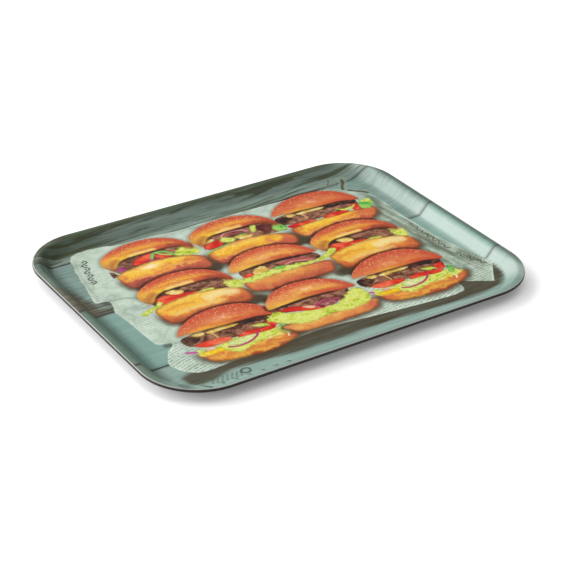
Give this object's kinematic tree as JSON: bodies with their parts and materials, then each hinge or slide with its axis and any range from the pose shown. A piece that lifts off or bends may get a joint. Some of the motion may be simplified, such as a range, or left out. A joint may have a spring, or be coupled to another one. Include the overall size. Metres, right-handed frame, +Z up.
{
  "type": "serving tray",
  "caption": "Rectangular pressed laminate serving tray with a printed face, rounded corners, a narrow flat lip and a shallow flat-bottomed well.",
  "frame": {"origin": "centre of the tray on the surface that it stands on", "axes": "+X along the long side, +Y along the short side, +Z up out of the printed face"},
  "size_m": [0.43, 0.33, 0.0153],
  "materials": {
    "clear_overlay": "clear satin melamine wear sheet",
    "decor_sheet": "printed decor paper under melamine, satin",
    "barrier_sheet": "plain dark brown barrier paper, seen only at the cut edge",
    "core_board": "black resin-bonded paper, cut and sanded at the edge",
    "backing_sheet": "black satin melamine backing with a fine texture"
  },
  "bodies": {
    "root": {"clear_overlay": "clear_overlay", "decor_sheet": "decor_sheet", "barrier_sheet": "barrier_sheet", "core_board": "core_board", "backing_sheet": "backing_sheet"}
  },
  "joints": []
}
